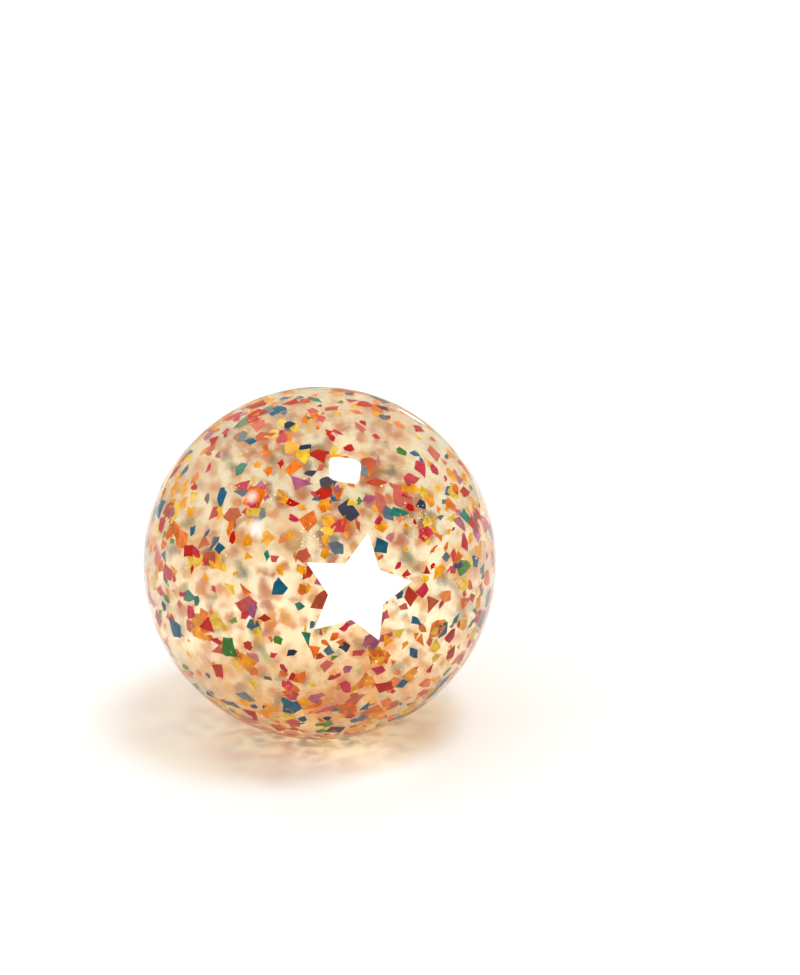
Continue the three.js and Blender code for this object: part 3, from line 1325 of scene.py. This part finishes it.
# %% The room
ROOM_SEEN = 1.4
MIRRORED_FRONT, MIRRORED_BACK = 0.12, 0.6
ROOM_TINT, MIRRORED_TINT = (1.0, 0.985, 0.96), (1.0, 0.86, 0.66)
DARKEST_LIGHT, BRIGHTEST_LIGHT = 0.9, 1.9
BRIGHT_SIDE = Vector((-0.55, -0.35, 0.76))
world = bpy.data.worlds.new("white_room")
bpy.context.scene.world = world
world.use_nodes = True
tree = world.node_tree
background = tree.nodes["Background"]
towards = add_node(tree, "ShaderNodeTexCoord").outputs["Generated"]
behind = parts_of(tree, towards)["Y"]
mirrored = off_glossy_face(tree)
mirror_image = ranged(tree, behind, MIRRORED_FRONT, MIRRORED_BACK, -0.3, 0.45, "SMOOTHSTEP")
rays = add_node(tree, "ShaderNodeLightPath").outputs
seen = maths(tree, "MAXIMUM", rays["Is Camera Ray"], rays["Is Transmission Ray"])
side = vector_maths(tree, "DOT_PRODUCT", towards, tuple(BRIGHT_SIDE))
light = ranged(tree, side, DARKEST_LIGHT, BRIGHTEST_LIGHT, 0.2, 1.0)
brightness = between(tree, seen, light, ROOM_SEEN)
brightness = between(tree, mirrored, brightness, mirror_image)
tree.links.new(brightness, background.inputs["Strength"])
tint = mixed(tree, mirrored, ROOM_TINT, MIRRORED_TINT)
tree.links.new(tint, background.inputs["Color"])

# %% [markdown]
# ## The table
#
# The table is white and plain. It gets lighter farther out, so that it melts into the white room and
# shows no edge. For mirror images it is dimmed in front of the ball, for the same reason as the
# room.
#
# A real ball also gathers light on the table under it, and in a soft spot in front of its foot. The
# renderer would find that light only by luck. So that light is painted on the table: in that spot,
# and close to the ball where the table is seen through the ball. Farther out, where it is seen
# through the ball, the table is painted darker.

# %% Finish of the table
TABLE_RADIUS = 2.4
TABLE_GAP = 0.02 * MM
TABLE_NEAR, TABLE_FAR = (0.56, 0.56, 0.56), (0.8, 0.8, 0.8)
NEAR_END, FAR_START = 0.5, 1.8
# Seen through the ball: painted light near it, and painted shade farther out.
LIT_BY_BALL, PAINTED_DARK_THROUGH_BALL = (0.70, 0.70, 0.70), (0.49, 0.49, 0.49)
LIT_END, UNLIT_START = 0.1, 0.4
TABLE_MIRRORED = (0.14, 0.12, 0.10)
# Painted light: a lighter spot in front of the ball's foot, with its middle and reach.
LIT_SPOT = (0.75, 0.78, 0.83)
LIT_SPOT_MIDDLE, LIT_SPOT_REACH = (12 * MM, -38 * MM, 0.0), 42 * MM


def white_table():
    """Lighter farther out, with painted light and shade by the ball, and dim in mirror images."""
    material, tree = new_material("white_table")
    place = object_place(tree)
    away = vector_maths(tree, "LENGTH", place)
    far = ranged(tree, away, 0.0, 1.0, NEAR_END, FAR_START)
    colour = mixed(tree, far, TABLE_NEAR, TABLE_FAR)
    # Painted light in a soft spot in front of the ball's foot.
    from_spot = vector_maths(tree, "DISTANCE", place, LIT_SPOT_MIDDLE)
    in_painted_spot = ranged(tree, from_spot, 1.0, 0.0, 0.0, LIT_SPOT_REACH, "SMOOTHSTEP")
    colour = mixed(tree, in_painted_spot, colour, LIT_SPOT)
    # Seen through the ball, the table is painted lighter near it and darker farther out.
    away_from_ball = ranged(tree, away, 0.0, 1.0, LIT_END, UNLIT_START)
    painted_through_ball = mixed(tree, away_from_ball, LIT_BY_BALL, PAINTED_DARK_THROUGH_BALL)
    through = add_node(tree, "ShaderNodeLightPath").outputs["Is Transmission Ray"]
    colour = mixed(tree, through, colour, painted_through_ball)
    behind = parts_of(tree, place)["Y"]
    in_front = ranged(tree, behind, 0.0, 1.0, 0.1, -0.2)
    dim = maths(tree, "MULTIPLY", off_glossy_face(tree), in_front)
    colour = mixed(tree, dim, colour, TABLE_MIRRORED)
    return finished(material, principled(tree, {"Base Color": colour, "Roughness": 0.5}))


# %% Make the table
b = bmesh.new()
bmesh.ops.create_circle(b, cap_ends=True, segments=96, radius=TABLE_RADIUS)
table_mesh = bpy.data.meshes.new("table")
b.to_mesh(table_mesh)
b.free()
table_mesh.materials.append(white_table())
table = new_object("table", table_mesh)
table.location.z = -TABLE_GAP

# %% [markdown]
# ## Render settings
#
# Light has to pass four vinyl faces and often several chips, so it needs more bounces than usual.
# The Standard view shows white as white, as the photograph does.

# %% Bounces and view
scene = bpy.context.scene
scene.view_settings.view_transform = "Standard"
scene.cycles.use_denoising = True
scene.cycles.transparent_max_bounces = 24
scene.cycles.max_bounces = 16
scene.cycles.transmission_bounces = 16
scene.cycles.glossy_bounces = 6
scene.cycles.diffuse_bounces = 4
scene.cycles.caustics_reflective = False

# %% [markdown]
# ## Riding on the imported model
#
# The ball is one rigid body, so every piece rides on its root. Three pieces take the place of the
# plain solids, and the confetti and the froth are extra, because no solid stands for them.

# %% Ride and replace
for piece in [ball_wall, star, stopper, air_beads, *chip_pieces]:
    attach(piece, "root")
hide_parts("ball")
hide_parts("star_sticker")
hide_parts("valve_stopper")
